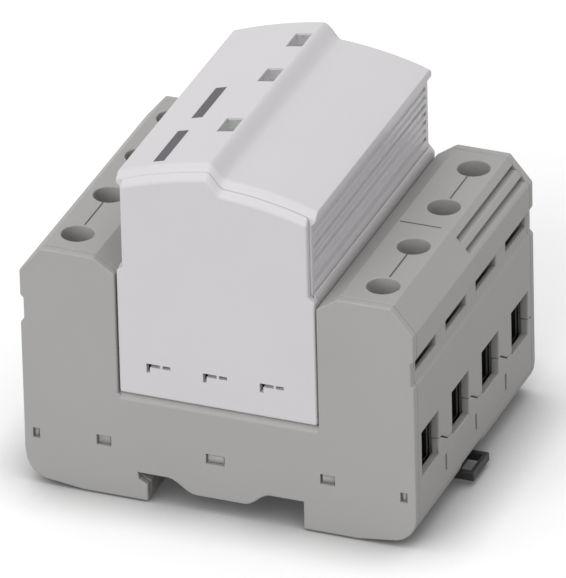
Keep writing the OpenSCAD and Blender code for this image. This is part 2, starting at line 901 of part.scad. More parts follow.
spark_gap(3);  // spark_gap_3
spark_gap(4);  // spark_gap_4
trigger_board();
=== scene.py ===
# %% [markdown]
# # A plug-in surge arrester on its rail foot
#
# The real device is an electrical fitting of moulded plastic: a mid-grey base that clips on a rail, with
# four screw terminals along each shoulder, and a light grey plug that pulls straight up out of the base.
# The measured solids arrive as a fixed frame, so this lesson only dresses them. It rounds the edges that
# a mould leaves round, cuts threads, prints the marking and gives every surface its own finish.

# %% Load the frame and keep its box
import math

import bmesh
import bpy
from mathutils import Matrix, Vector
from mathutils.bvhtree import BVHTree


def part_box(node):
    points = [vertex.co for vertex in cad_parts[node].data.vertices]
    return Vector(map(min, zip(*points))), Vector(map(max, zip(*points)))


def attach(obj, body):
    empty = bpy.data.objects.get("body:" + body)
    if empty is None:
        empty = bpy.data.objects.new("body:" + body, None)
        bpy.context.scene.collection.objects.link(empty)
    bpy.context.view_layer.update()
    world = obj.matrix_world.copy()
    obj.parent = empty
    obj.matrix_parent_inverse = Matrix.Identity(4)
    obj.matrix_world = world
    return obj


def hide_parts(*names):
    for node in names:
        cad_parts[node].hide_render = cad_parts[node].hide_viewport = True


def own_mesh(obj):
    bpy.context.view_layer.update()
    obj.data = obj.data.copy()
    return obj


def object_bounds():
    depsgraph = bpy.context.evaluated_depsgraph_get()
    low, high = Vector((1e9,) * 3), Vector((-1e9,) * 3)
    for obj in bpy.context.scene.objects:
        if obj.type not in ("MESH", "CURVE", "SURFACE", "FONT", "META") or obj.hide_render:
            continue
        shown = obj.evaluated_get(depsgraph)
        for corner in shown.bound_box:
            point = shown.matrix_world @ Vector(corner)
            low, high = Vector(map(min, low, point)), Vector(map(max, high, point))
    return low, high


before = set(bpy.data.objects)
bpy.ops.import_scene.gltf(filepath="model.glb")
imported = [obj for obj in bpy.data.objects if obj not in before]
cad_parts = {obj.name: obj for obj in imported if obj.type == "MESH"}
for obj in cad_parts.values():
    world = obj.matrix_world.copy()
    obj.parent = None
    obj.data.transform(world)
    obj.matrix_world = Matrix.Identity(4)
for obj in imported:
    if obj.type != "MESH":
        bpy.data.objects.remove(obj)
cad_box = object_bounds()
MM = 0.001
scene = bpy.context.scene
scene.view_settings.view_transform = "Standard"
print("box in mm:", [[round(v / MM, 1) for v in corner] for corner in cad_box])

# %% [markdown]
# ## The camera
#
# The picture was taken with a long lens from the front right and well above, so uprights look almost
# parallel. A camera can be placed by eye, or by solving for it from points of known size. It was solved:
# two angles, a small roll, one distance and one focal length in pixels, which Blender takes as a lens on
# a 36 mm sensor.

# %% Place the camera
PICTURE_WIDTH = 566
FOCAL_PIXELS = 12105
SENSOR_MM = 36
TURN, TILT, ROLL = math.radians(22.04), math.radians(29.32), math.radians(1.43)
AIM = Vector((0, 0, 23.5)) * MM
AIM_IN_VIEW = Vector((-0.76, 4.55, 2550)) * MM
NEAREST, FARTHEST = 0.1, 20


def camera_axes(turn, tilt, roll):
    """Gives the picture's right, down and forward directions in the frame of the part."""
    forward = Vector((-math.sin(turn) * math.cos(tilt), math.cos(turn) * math.cos(tilt), -math.sin(tilt)))
    level = Vector((math.cos(turn), math.sin(turn), 0))
    steep = forward.cross(level)
    right = math.cos(roll) * level + math.sin(roll) * steep
    down = math.cos(roll) * steep - math.sin(roll) * level
    return right, down, forward


right, down, forward = camera_axes(TURN, TILT, ROLL)
camera = bpy.data.objects.new("camera", bpy.data.cameras.new("camera"))
scene.collection.objects.link(camera)
camera.data.sensor_fit = "HORIZONTAL"
camera.data.sensor_width = SENSOR_MM
camera.data.lens = FOCAL_PIXELS * SENSOR_MM / PICTURE_WIDTH
camera.data.clip_start, camera.data.clip_end = NEAREST, FARTHEST
eye = AIM - (right * AIM_IN_VIEW.x + down * AIM_IN_VIEW.y + forward * AIM_IN_VIEW.z)
camera.matrix_world = Matrix.Translation(eye) @ Matrix((right, -down, -forward)).transposed().to_4x4()
scene.camera = camera
print("camera at", [round(v, 3) for v in eye], "lens", round(camera.data.lens), "mm")

# %% [markdown]
# ## Colour and nodes
#
# Colours are written the way a colour picker shows them, and Blender's shaders want linear light, so one
# function converts them. A second function adds a node, sets its options and fills or links its inputs,
# and both materials and geometry trees are built with it.

# %% Two helpers for every material and tree


def colour(code):
    """Turns an sRGB hex code into linear red, green, blue and full opacity."""
    parts = [int(code[i:i + 2], 16) / 255 for i in (1, 3, 5)]
    return [v / 12.92 if v <= 0.04045 else ((v + 0.055) / 1.055) ** 2.4 for v in parts] + [1.0]


def add(tree, kind, options=None, inputs=None):
    """Adds one node. An input takes a value, a socket to link, or a list of sockets to join."""
    node = tree.nodes.new(kind)
    for name, value in (options or {}).items():
        setattr(node, name, value)
    for name, value in (inputs or {}).items():
        sources = value if isinstance(value, list) and isinstance(value[0], bpy.types.NodeSocket) else [value]
        for source in sources:
            if isinstance(source, bpy.types.NodeSocket):
                tree.links.new(source, node.inputs[name])
            else:
                node.inputs[name].default_value = source
    return node


print("mid grey #808080 in linear light:", round(colour("#808080")[0], 3))

# %% [markdown]
# ## Floor and light
#
# The object stands on a white sweep in a bright room, with one broad lamp at the front and a weaker one
# overhead, so that the right-hand walls fall into gentle shade. The background stays white because the
# camera, and anything that mirrors it or looks through to it, sees floor and world as white. The floor
# throws less light back than white paper would, which keeps the walls from washing out. Its colour is
# darkened where the object is close by an occlusion node, a painted shadow that deepens the contact
# shadow. All lights together stay at a level that shows colours as written.

# %% Make the sweep and the lamps
WHITE = "#FFFFFF"
FLOOR_BOUNCE = "#A0A0A0"
FLOOR_GLOW = 0.06
PAINTED_CONTACT_SHADOW_REACH = 15 * MM
SKY_LEVEL = 0.73
LAMP_SOFTNESS = math.radians(50)
LAMPS = {
    "overhead_lamp": (Vector((0, 0, 1.0)), 0.12),
    "front_lamp": (Vector((-0.18, -0.87, 0.42)), 0.44),
}


def background_rays(tree):
    """Gives 1 for rays that show the background: from the camera, off a mirror or through glass."""
    ray = add(tree, "ShaderNodeLightPath").outputs
    indirect = add(tree, "ShaderNodeMath", {"operation": "MAXIMUM"},
                   {0: ray["Is Glossy Ray"], 1: ray["Is Transmission Ray"]})
    return add(tree, "ShaderNodeMath", {"operation": "MAXIMUM"},
               {0: ray["Is Camera Ray"], 1: indirect.outputs[0]}).outputs[0]


def white_sweep(size=8.0, drop=0.35 * MM):
    """Makes the floor a hair below the feet. It keeps shadows, its colour darkens near the object as a
    painted shadow, and a faint glow lifts it to white.
    """
    mesh = bpy.data.meshes.new("floor")
    half, z = size / 2, cad_box[0].z - drop
    corners = [(-half, -half, z), (half, -half, z), (half, half, z), (-half, half, z)]
    mesh.from_pydata(corners, [], [(0, 1, 2, 3)])
    floor = bpy.data.objects.new("floor", mesh)
    scene.collection.objects.link(floor)
    paper = bpy.data.materials.new("matt_white_paper")
    paper.use_nodes = True
    tree = paper.node_tree
    shader = tree.nodes["Principled BSDF"]
    shader.inputs["Roughness"].default_value = 1.0
    shader.inputs["Specular IOR Level"].default_value = 0.0
    shader.inputs["Emission Color"].default_value = colour(WHITE)
    shown = background_rays(tree)
    tone = add(tree, "ShaderNodeMix", {"data_type": "RGBA"},
               {0: shown, 6: colour(FLOOR_BOUNCE), 7: colour(WHITE)})
    # Painted shadow: the occlusion node darkens the floor's colour where the object is close.
    contact = add(tree, "ShaderNodeAmbientOcclusion", None,
                  {"Color": tone.outputs[2], "Distance": PAINTED_CONTACT_SHADOW_REACH})
    glow = add(tree, "ShaderNodeMath", {"operation": "MULTIPLY"}, {0: shown, 1: FLOOR_GLOW})
    tree.links.new(contact.outputs["Color"], shader.inputs["Base Color"])
    tree.links.new(glow.outputs[0], shader.inputs["Emission Strength"])
    mesh.materials.append(paper)
    return floor


def white_world():
    """Gives even soft light, and shows as white to the camera, to mirrors and through glass."""
    world = bpy.data.worlds.new("studio")
    world.use_nodes = True
    tree = world.node_tree
    tree.nodes.clear()
    soft = add(tree, "ShaderNodeBackground", None, {"Color": colour(WHITE), "Strength": SKY_LEVEL})
    white = add(tree, "ShaderNodeBackground", None, {"Color": colour(WHITE), "Strength": 1.0})
    both = add(tree, "ShaderNodeMixShader", None,
               {0: background_rays(tree), 1: soft.outputs[0], 2: white.outputs[0]})
    add(tree, "ShaderNodeOutputWorld", None, {"Surface": both.outputs[0]})
    scene.world = world


def soft_lamp(name, toward, level):
    """Adds a broad lamp. A level of 1, a strength of pi, shows a white sheet that faces it as white.

    Its mirror image is left out, because the white world already gives every surface its gloss.
    """
    lamp = bpy.data.lights.new(name, "SUN")
    lamp.energy = math.pi * level
    lamp.angle = LAMP_SOFTNESS
    holder = bpy.data.objects.new(name, lamp)
    holder.visible_glossy = False
    holder.rotation_mode = "QUATERNION"
    holder.rotation_quaternion = toward.to_track_quat("Z", "Y")
    scene.collection.objects.link(holder)


white_sweep()
white_world()
for name, (toward, level) in LAMPS.items():
    soft_lamp(name, toward, level)
print("sky level", SKY_LEVEL, "lamp levels", [level for toward, level in LAMPS.values()])

# %% [markdown]
# ## Moulded plastics
#
# Base and latch are polyamide with glass fibre: a matt skin that takes the spark-eroded grain of the
# mould. The plug is polycarbonate, smoother and a little glossier. One recipe serves all plastics: grain
# as bump, a slow drift of tone as the melt flowed, and a gloss that changes slightly with the grain. The
# real grain is about 0.1 mm, too fine to show at this size, so it is drawn several times coarser.

# %% Recipe for a moulded plastic
FLOW_SIZE = 22 * MM
GRAIN_BUMP = 0.5
POLYCARBONATE_IOR = 1.58


def moulded_plastic(name, tone, tint, grain_mm, depth_mm, gloss_range, ior=1.53):
    """Makes a moulded plastic from two close tones, a grain size and depth, and a range of roughness."""
    material = bpy.data.materials.new(name)
    material.use_nodes = True
    tree = material.node_tree
    shader = tree.nodes["Principled BSDF"]
    shader.inputs["IOR"].default_value = ior
    place = add(tree, "ShaderNodeTexCoord").outputs["Object"]
    grain = add(tree, "ShaderNodeTexNoise", None,
                {"Vector": place, "Scale": 1 / (grain_mm * MM), "Detail": 3.0, "Roughness": 0.55})
    drift = add(tree, "ShaderNodeTexNoise", None,
                {"Vector": place, "Scale": 1 / FLOW_SIZE, "Detail": 2.0, "Roughness": 0.5})
    tones = add(tree, "ShaderNodeMix", {"data_type": "RGBA"},
                {0: drift.outputs[0], 6: colour(tone), 7: colour(tint)})
    gloss = add(tree, "ShaderNodeMapRange", None,
                {"Value": grain.outputs[0], "To Min": gloss_range[0], "To Max": gloss_range[1]})
    bump = add(tree, "ShaderNodeBump", None,
               {"Strength": GRAIN_BUMP, "Distance": depth_mm * MM, "Height": grain.outputs[0]})
    tree.links.new(tones.outputs[2], shader.inputs["Base Color"])
    tree.links.new(gloss.outputs[0], shader.inputs["Roughness"])
    tree.links.new(bump.outputs[0], shader.inputs["Normal"])
    return material


polyamide_grey = moulded_plastic("glass_filled_polyamide_grey", "#A2A09E", "#A7A5A3", 0.55, 0.030,
                                 (0.50, 0.66))
polycarbonate_light = moulded_plastic("satin_polycarbonate_light_grey", "#CDCACD", "#D1CED1", 0.60, 0.016,
                                      (0.36, 0.48), POLYCARBONATE_IOR)
polyamide_dark = moulded_plastic("glass_filled_polyamide_anthracite", "#2A292B", "#323133", 0.50, 0.030,
                                 (0.42, 0.60))
carrier_white = moulded_plastic("polyamide_carrier_white", "#DBD8D0", "#D3D0C8", 0.60, 0.020, (0.45, 0.60))
resin_brown = moulded_plastic("cast_epoxy_brown", "#6B523D", "#755B45", 1.20, 0.020, (0.25, 0.40))
board_green = moulded_plastic("solder_mask_green", "#27593A", "#2D6342", 0.80, 0.010, (0.22, 0.34))
print("plastics:", [m.name for m in (polyamide_grey, polycarbonate_light, polyamide_dark)])

# %% [markdown]
# ## Plated metals
#
# Terminal screws and cages are steel with a thin zinc coat, cloudy from the bath: bright on the screws,
# near black on the cages. That black is partly a passivated finish and partly painted shade, which keeps
# the cable entries as dark as the deep shade inside them. The contact bars are tinned copper
# and the plug's blades are brass, both stamped from strip, so they show fine drawing lines along one
# direction. A stretched noise makes lines and an even noise makes clouds, which touch both tone and
# gloss.

# %% Recipe for a stamped or plated metal
CLOUD_BUMP, CLOUD_DEPTH = 0.35, 0.01 * MM


def plated_metal(name, tone, tint, cloud_mm, line_stretch, gloss_range):
    """Makes a metal from two tones, the size of its clouds, their stretch along X, and its roughness."""
    material = bpy.data.materials.new(name)
    material.use_nodes = True
    tree = material.node_tree
    shader = tree.nodes["Principled BSDF"]
    shader.inputs["Metallic"].default_value = 1.0
    place = add(tree, "ShaderNodeTexCoord").outputs["Object"]
    drawn = add(tree, "ShaderNodeMapping", None, {"Vector": place, "Scale": (1 / line_stretch, 1.0, 1.0)})
    clouds = add(tree, "ShaderNodeTexNoise", None,
                 {"Vector": drawn.outputs[0], "Scale": 1 / (cloud_mm * MM), "Detail": 4.0, "Roughness": 0.6})
    tones = add(tree, "ShaderNodeMix", {"data_type": "RGBA"},
                {0: clouds.outputs[0], 6: colour(tone), 7: colour(tint)})
    gloss = add(tree, "ShaderNodeMapRange", None,
                {"Value": clouds.outputs[0], "To Min": gloss_range[0], "To Max": gloss_range[1]})
    bump = add(tree, "ShaderNodeBump", None,
               {"Strength": CLOUD_BUMP, "Distance": CLOUD_DEPTH, "Height": clouds.outputs[0]})
    tree.links.new(tones.outputs[2], shader.inputs["Base Color"])
    tree.links.new(gloss.outputs[0], shader.inputs["Roughness"])
    tree.links.new(bump.outputs[0], shader.inputs["Normal"])
    return material


zinc_screw = plated_metal("zinc_plated_screw_steel", "#B9B8B2", "#A5A5A3", 1.4, 1.0, (0.30, 0.46))
# Near black: partly a passivated finish, partly painted shade that keeps the cable entries dark.
black_zinc_and_painted_shade = plated_metal("black_passivated_zinc_and_painted_shade", "#444442", "#383837", 2.0, 1.0, (0.44, 0.58))
spring_strip = plated_metal("rolled_spring_steel", "#8C8F94", "#7A7D83", 0.6, 8.0, (0.24, 0.38))
tinned_bar = plated_metal("tinned_copper_strip", "#C9A78C", "#C0BBB2", 2.4, 6.0, (0.26, 0.40))
brass_strip = plated_metal("stamped_brass_strip", "#D3AE68", "#C49F5C", 1.2, 6.0, (0.24, 0.38))
print("metals:", [m.name for m in (zinc_screw, black_zinc_and_painted_shade, spring_strip, tinned_bar, brass_strip)])

# %% [markdown]
# ## Windows, flags and ink
#
# Three small frosted panes sit in the roof, one greenish and two grey, and the flag below each shows
# through faintly. A flag has two colours: one half shows while the device is sound, the other slides
# under the pane once it has tripped. The colours meet at a line across the flag, so one comparison on
# its own X coordinate paints both. A pane could refract, but light would hardly find its way in and out
# again, so its faces simply cover a part of what lies below. The marking on the shell is pad-printed
# grey ink.

# %% Make the pane, flag and ink materials
FLAG_SPLIT_X = -6.2 * MM
GREEN, RED, SOUND_GREY = "#6FA883", "#B23A32", "#B9B7B6"
FLAG_GRAIN, FLAG_GLOSS = 0.6 * MM, (0.38, 0.52)
PANE_COVER = 0.3
PANE_WAVE, PANE_WAVE_DEPTH, PANE_BUMP = 2.5 * MM, 0.03 * MM, 0.2
PANE_GLOSS = (0.30, 0.42)


def two_colour_flag(name, sound, tripped):
    """Makes a flag that is one colour right of the split and another left of it, with a faint grain."""
    material = bpy.data.materials.new(name)
    material.use_nodes = True
    tree = material.node_tree
    shader = tree.nodes["Principled BSDF"]
    place = add(tree, "ShaderNodeTexCoord").outputs["Object"]
    along = add(tree, "ShaderNodeSeparateXYZ", None, {0: place})
    half = add(tree, "ShaderNodeMath", {"operation": "GREATER_THAN"},
               {0: along.outputs["X"], 1: FLAG_SPLIT_X})
    halves = add(tree, "ShaderNodeMix", {"data_type": "RGBA"},
                 {0: half.outputs[0], 6: colour(tripped), 7: colour(sound)})
    grain = add(tree, "ShaderNodeTexNoise", None, {"Vector": place, "Scale": 1 / FLAG_GRAIN, "Detail": 2.0})
    gloss = add(tree, "ShaderNodeMapRange", None,
                {"Value": grain.outputs[0], "To Min": FLAG_GLOSS[0], "To Max": FLAG_GLOSS[1]})
    tree.links.new(halves.outputs[2], shader.inputs["Base Color"])
    tree.links.new(gloss.outputs[0], shader.inputs["Roughness"])
    return material


def frosted_pane(name, tint):
    """Makes frosted polycarbonate, each face of which covers a part, with the waviness of a moulded pane."""
    material = bpy.data.materials.new(name)
    material.use_nodes = True
    tree = material.node_tree
    shader = tree.nodes["Principled BSDF"]
    shader.inputs["Base Color"].default_value = colour(tint)
    shader.inputs["Alpha"].default_value = PANE_COVER
    shader.inputs["IOR"].default_value = POLYCARBONATE_IOR
    place = add(tree, "ShaderNodeTexCoord").outputs["Object"]
    waves = add(tree, "ShaderNodeTexNoise", None, {"Vector": place, "Scale": 1 / PANE_WAVE, "Detail": 1.0})
    gloss = add(tree, "ShaderNodeMapRange", None,
                {"Value": waves.outputs[0], "To Min": PANE_GLOSS[0], "To Max": PANE_GLOSS[1]})
    bump = add(tree, "ShaderNodeBump", None,
               {"Strength": PANE_BUMP, "Distance": PANE_WAVE_DEPTH, "Height": waves.outputs[0]})
    tree.links.new(gloss.outputs[0], shader.inputs["Roughness"])
    tree.links.new(bump.outputs[0], shader.inputs["Normal"])
    return material


green_flag = two_colour_flag("green_and_red_flag_plastic", GREEN, RED)
grey_flag = two_colour_flag("grey_and_red_flag_plastic", SOUND_GREY, RED)
pane_green = frosted_pane("frosted_polycarbonate_green", "#C8D1CA")
pane_grey = frosted_pane("frosted_polycarbonate_grey", "#D4D2D3")
print_ink = moulded_plastic("pad_printed_grey_ink", "#4A474F", "#504D55", 0.40, 0.004, (0.40, 0.55), 1.48)
print("flag halves meet at", round(FLAG_SPLIT_X / MM, 1), "mm")

# %% [markdown]
# ## Rounding what the mould leaves round
#
# No moulded edge is sharp: the tool is polished and the melt shrinks, which leaves a radius of a few
# tenths of a millimetre that catches the light. The solids have sharp edges, so each visible shell is
# copied, its flat triangles are merged to whole faces, and its outward edges are marked for rounding. An
# edge beside a face too narrow for the radius stays sharp, which is what the marker grooves and seams
# need.

# %% Find the edges to round
MERGE_GAP, SLIVER = 0.001 * MM, 0.0005 * MM
FLAT_ANGLE = math.radians(0.4)
EDGE_ANGLE = math.radians(28)
ROOM_IN_RADII = 2.3
CRISP_RIM = 6.5 * MM
JOINT_SLACK = 0.01 * MM
JOINT_SHARE = 0.5


def reach(edge, face):
    """Measures how far a face extends away from one of its edges."""
    start = edge.verts[0].co
    along = (edge.verts[1].co - start).normalized()
    return max(((v.co - start) - along * (v.co - start).dot(along)).length for v in face.verts)


def whole_faces(mesh):
    """Merges a mesh of loose triangles and joins the ones that lie in one plane."""
    work = bmesh.new()
    work.from_mesh(mesh)
    bmesh.ops.remove_doubles(work, verts=work.verts, dist=MERGE_GAP)
    bmesh.ops.dissolve_degenerate(work, dist=SLIVER, edges=work.edges)
    bmesh.ops.dissolve_limit(work, angle_limit=FLAT_ANGLE, verts=work.verts, edges=work.edges)
    return work


def has_room(edge, radius):
    """Says whether an edge points outwards and both its faces are wide enough for the radius."""
    if len(edge.link_faces) != 2 or not edge.is_convex or edge.calc_face_angle() < EDGE_ANGLE:
        return False
    return min(reach(edge, face) for face in edge.link_faces) >= ROOM_IN_RADII * radius


def chains(edges):
    """Sorts edges into groups that hang together at their ends."""
    waiting = set(edges)
    while waiting:
        group, front = [], [waiting.pop()]
        while front:
            edge = front.pop()
            group.append(edge)
            near = {other for v in edge.verts for other in v.link_edges if other in waiting}
            waiting -= near
            front += near
        yield group


def in_joint(edge, joint_ys):
    """Says whether an edge lies in one of the planes across Y where two shells meet."""
    return any(all(abs(v.co.y - y) < JOINT_SLACK for v in edge.verts) for y in joint_ys)


def weigh_edges(work, radius, joint_ys):
    """Marks the edges to round, those in a joint less. The rim of a small slot or window stays crisp."""
    weight = work.edges.layers.float.new("bevel_weight_edge")
    marked = 0
    for group in chains([edge for edge in work.edges if has_room(edge, radius)]):
        points = [v.co for edge in group for v in edge.verts]
        extent = max(max(p[i] for p in points) - min(p[i] for p in points) for i in range(3))
        if extent < CRISP_RIM:
            continue
        for edge in group:
            edge[weight] = JOINT_SHARE if in_joint(edge, joint_ys) else 1.0
        marked += len(group)
    return marked


print("edges stay sharp below a bend of", round(math.degrees(EDGE_ANGLE)), "degrees")

# %% [markdown]
# ## Bevelling without torn faces
#
# Blender's bevel rounds the marked edges. It can be told to stop where two radii would meet, but then
# one tight corner would thin every edge of the shell. So it runs freely and the result is tested: a face
# whose triangles cover more than the face itself has folded over, and the edges round it are eased until
# it is whole.

# %% Round the edges and mend what folds
SMOOTH_ANGLE = math.radians(40)
ROUND_STEPS = 3
OVERFILL = 0.15 * MM * MM
EASE_REACH = 1.5
LEAST_WEIGHT = 0.2
MOST_REPAIRS = 6


def settle(piece):
    """Applies a piece's modifiers to its mesh and removes them."""
    depsgraph = bpy.context.evaluated_depsgraph_get()
    mesh = bpy.data.meshes.new_from_object(piece.evaluated_get(depsgraph), depsgraph=depsgraph)
    piece.modifiers.clear()
    piece.data = mesh
    return piece


def bevelled(work, name, radius):
    """Makes a piece of the working mesh with its marked edges rounded."""
    mesh = bpy.data.meshes.new(name)
    work.to_mesh(mesh)
    mesh.shade_smooth()
    piece = bpy.data.objects.new(name, mesh)
    scene.collection.objects.link(piece)
    bevel = piece.modifiers.new("mould radius", "BEVEL")
    bevel.limit_method = "WEIGHT"
    bevel.width = radius
    bevel.segments = ROUND_STEPS
    bevel.use_clamp_overlap = False
    return settle(piece)


def overfilled(mesh):
    """Finds the faces whose triangles cover more than the face, where two rounded edges ran together."""
    mesh.calc_loop_triangles()
    cover = [0.0] * len(mesh.polygons)
    for triangle in mesh.loop_triangles:
        cover[triangle.polygon_index] += triangle.area
    return [face for face in mesh.polygons if cover[face.index] - face.area > OVERFILL]


def ease_edges(work, mesh, faces, radius):
    """Halves the rounding of every edge that lies round one of the faces, and drops it once it is small."""
    weight = work.edges.layers.float["bevel_weight_edge"]
    around = set()
    for face in faces:
        points = [mesh.vertices[i].co for i in face.vertices]
        low = [min(p[i] for p in points) - EASE_REACH * radius for i in range(3)]
        high = [max(p[i] for p in points) + EASE_REACH * radius for i in range(3)]
        around |= {edge for edge in work.edges
                   if all(low[i] < v.co[i] < high[i] for v in edge.verts for i in range(3))}
    for edge in around:
        edge[weight] = edge[weight] / 2 if edge[weight] > LEAST_WEIGHT else 0.0


def keep_in_box(mesh, low, high):
    """Sets points that a rounding pushed past a box back on to it."""
    for vertex in mesh.vertices:
        vertex.co = [min(max(value, least), most) for value, least, most in zip(vertex.co, low, high)]


def rounded_copy(node, radius_mm, joint_ys=()):
    """Copies a solid, rounds its outward edges and shades it smoothly. Returns the new piece."""
    radius = radius_mm * MM
    work = whole_faces(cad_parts[node].data)
    marked = weigh_edges(work, radius, joint_ys)
    piece = bevelled(work, node + "_rounded", radius)
    repairs, faults = 0, overfilled(piece.data)
    while faults and repairs < MOST_REPAIRS:
        ease_edges(work, piece.data, faults, radius)
        bpy.data.objects.remove(piece)
        piece = bevelled(work, node + "_rounded", radius)
        repairs, faults = repairs + 1, overfilled(piece.data)
    work.free()
    keep_in_box(piece.data, *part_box(node))
    piece.data.set_sharp_from_angle(angle=SMOOTH_ANGLE)
    piece.modifiers.new("flat faces first", "WEIGHTED_NORMAL").keep_sharp = True
    settle(piece)
    print(node, "edges rounded:", marked, "repairs:", repairs, "faults left:", len(overfilled(piece.data)))
    return piece


print("a rounded edge has", ROUND_STEPS, "steps, and a shell is mended up to", MOST_REPAIRS, "times")

# %% [markdown]
# ## The shells of the base
#
# Two terminal blocks, the tray with the rail foot, and an end plate at either end make up the base.
# Their radii differ a little: the plates have softer edges than the blocks, whose slots need crisp rims.

# %% Round the base
BASE_SHELLS = {
    "base_tray": 0.25,
    "terminal_block_right": 0.28,
    "terminal_block_left": 0.28,
    "front_end_plate": 0.35,
    "rear_end_plate": 0.35,
}


def dress(piece, material, body, slot, *nodes):
    """Gives a new piece its finish, its body and the solids it stands for. The slot argument is not used."""
    piece.data.materials.clear()
    piece.data.materials.append(material)
    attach(piece, body)
    if nodes:
        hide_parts(*nodes)
    return piece


for node, radius in BASE_SHELLS.items():
    dress(rounded_copy(node, radius), polyamide_grey, "base", "base_polyamide", node)

# %% [markdown]
# ## The shells of the plug
#
# The plug is a cover with a stepped roof and grip ribs, a tray below it and a plate at either end. The
# cover and plates are what a hand touches, so they get the larger radius. Where cover and plates meet,
# their edges get only a share of it, because they are welded flush and the joint shows as a fine groove.

# %% Round the plug
PLUG_SHELLS = {
    "plug_cover": 0.42,
    "plug_base": 0.22,
    "plug_front_plate": 0.55,
    "plug_rear_plate": 0.55,
}
plug_joints = [corner.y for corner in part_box("plug_cover")]
for node, radius in PLUG_SHELLS.items():
    dress(rounded_copy(node, radius, plug_joints), polycarbonate_light, "plug", "plug_polycarbonate", node)

# %% [markdown]
# ## The rail latch and its spring
#
# The dark latch slides under the foot and ends in an eye for a screwdriver. A folded strip pushes it
# home. When the latch is pulled, the strip shortens against its fixed end; here the strip keeps its
# shape and stays with the base, with a mesh of its own.

# %% Round the latch and its spring
LATCH_RADIUS_MM, SPRING_RADIUS_MM = 0.25, 0.08

latch = rounded_copy("rail_latch", LATCH_RADIUS_MM)
dress(latch, polyamide_dark, "rail_latch", "latch_polyamide", "rail_latch")
spring = rounded_copy("latch_spring", SPRING_RADIUS_MM)
dress(spring, spring_strip, "base", "spring_steel", "latch_spring")
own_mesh(spring)

# %% [markdown]
# ## Growing repeated pieces with geometry trees
#
# Screws, serrations and printed rules repeat, so each is one geometry tree with named sizes. A tree runs
# once for each place, its result becomes a plain mesh, and the mesh is moved to where the solid is,
# because every finished piece keeps its object at the origin.

# %% Helpers that build and run a tree


def new_tree(name, sizes):
    """Starts a tree with a named input for each size and one for the material. Returns it and its inputs."""
    tree = bpy.data.node_groups.new(name, "GeometryNodeTree")
    kinds = {int: "NodeSocketInt", float: "NodeSocketFloat", Vector: "NodeSocketVector"}
    for label, value in sizes.items():
        tree.interface.new_socket(label, in_out="INPUT", socket_type=kinds[type(value)]).default_value = value
    tree.interface.new_socket("Material", in_out="INPUT", socket_type="NodeSocketMaterial")
    tree.interface.new_socket("Geometry", in_out="OUTPUT", socket_type="NodeSocketGeometry")
    return tree, add(tree, "NodeGroupInput").outputs


def end_tree(tree, geometry, material):
    """Ends a tree by making instances real and painting them."""
    real = add(tree, "GeometryNodeRealizeInstances", None, {"Geometry": geometry})
    painted = add(tree, "GeometryNodeSetMaterial", None, {"Geometry": real.outputs[0], "Material": material})
    add(tree, "NodeGroupOutput", None, {"Geometry": painted.outputs[0]})


def grow(tree, name, material, place):
    """Runs a tree, makes its result a plain mesh at a place, and returns the piece."""
    piece = bpy.data.objects.new(name, bpy.data.meshes.new(name + "_start"))
    scene.collection.objects.link(piece)
    modifier = piece.modifiers.new(tree.name, "NODES")
    modifier.node_group = tree
    for item in tree.interface.items_tree:
        if item.in_out == "INPUT":
            value = material if item.name == "Material" else item.default_value
            modifier[item.identifier] = value[:] if item.socket_type == "NodeSocketVector" else value
    settle(piece)
    piece.data.transform(Matrix.Translation(place))
    piece.data.shade_smooth()
    piece.data.set_sharp_from_angle(angle=SMOOTH_ANGLE)
    return piece


print("tree helpers:", [helper.__name__ for helper in (new_tree, end_tree, grow)])

# %% [markdown]
# ## Terminal screws
#
# Each terminal has a cheese-head screw with a cross slot, deep in its shaft, and its thread carries the
# cage. The body is turned work: a core, a head and a chamfer joined as one, with the slots cut out of
# it. The thread is a small lozenge swept along a spiral of the real pitch.

# %% Build the screw tree
screw_low, screw_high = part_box("terminal_screw_1")
HEAD_HEIGHT, HEAD_CHAMFER = 4.0 * MM, 0.45 * MM
HEAD_RADIUS = (screw_high.x - screw_low.x) / 2
RIM_HEIGHT = HEAD_HEIGHT - HEAD_CHAMFER
SHANK_LENGTH = screw_high.z - screw_low.z - HEAD_HEIGHT
THREAD_PITCH = 0.8 * MM
THREAD_LENGTH = SHANK_LENGTH - 2 * THREAD_PITCH
CORE_SIDES, HEAD_SIDES, POINTS_A_TURN = 40, 56, 28
SCREW_SIZES = {
    "Core radius": 2.12 * MM,
    "Shank length": SHANK_LENGTH,
    "Shank middle": Vector((0, 0, -SHANK_LENGTH / 2)),
    "Head radius": HEAD_RADIUS,
    "Rim height": RIM_HEIGHT,
    "Rim middle": Vector((0, 0, RIM_HEIGHT / 2)),
    "Top radius": HEAD_RADIUS - HEAD_CHAMFER,
    "Chamfer height": HEAD_CHAMFER,
    "Chamfer foot": Vector((0, 0, RIM_HEIGHT)),
    "Slot along": Vector((5.0, 1.1, 3.4)) * MM,
    "Slot across": Vector((1.1, 5.0, 3.4)) * MM,
    "Slot middle": Vector((0, 0, HEAD_HEIGHT)),
    "Thread ridge": 0.36 * MM,
    "Thread length": THREAD_LENGTH,
    "Thread turns": THREAD_LENGTH / THREAD_PITCH,
    "Thread foot": Vector((0, 0, THREAD_PITCH - SHANK_LENGTH)),
}


